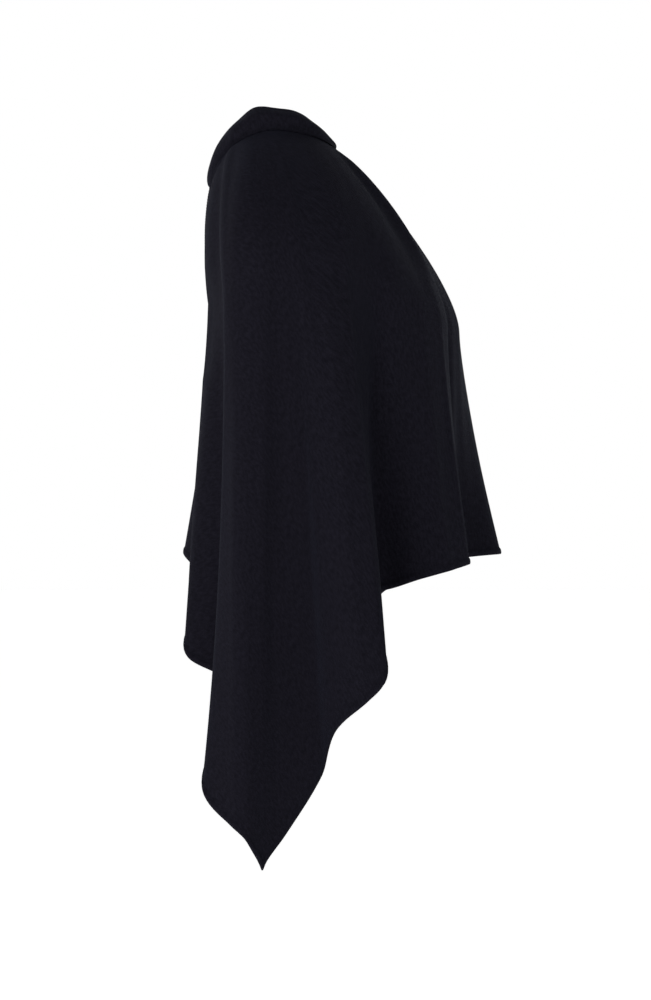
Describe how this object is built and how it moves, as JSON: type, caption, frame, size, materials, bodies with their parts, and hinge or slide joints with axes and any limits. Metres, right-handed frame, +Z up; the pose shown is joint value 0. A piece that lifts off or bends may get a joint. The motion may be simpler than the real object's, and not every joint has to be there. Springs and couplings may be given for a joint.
{
  "type": "poncho",
  "caption": "Worn knitted poncho, hollow and open at neck and hem, with a rolled neck edge and one long square corner hanging at the right arm.",
  "frame": {"origin": "middle of the neck base, at the height of the shoulders beside the neck, where the wearer holds the garment up", "axes": "+Z up, -Y to the wearer's front, -X to the wearer's right, where the long corner hangs"},
  "size_m": [0.523, 0.351, 0.7945],
  "materials": {
    "navy_knit": "matt fine jersey in very dark navy"
  },
  "bodies": {
    "root": {"knit_panel": "navy_knit", "neck_roll": "navy_knit"}
  },
  "joints": []
}
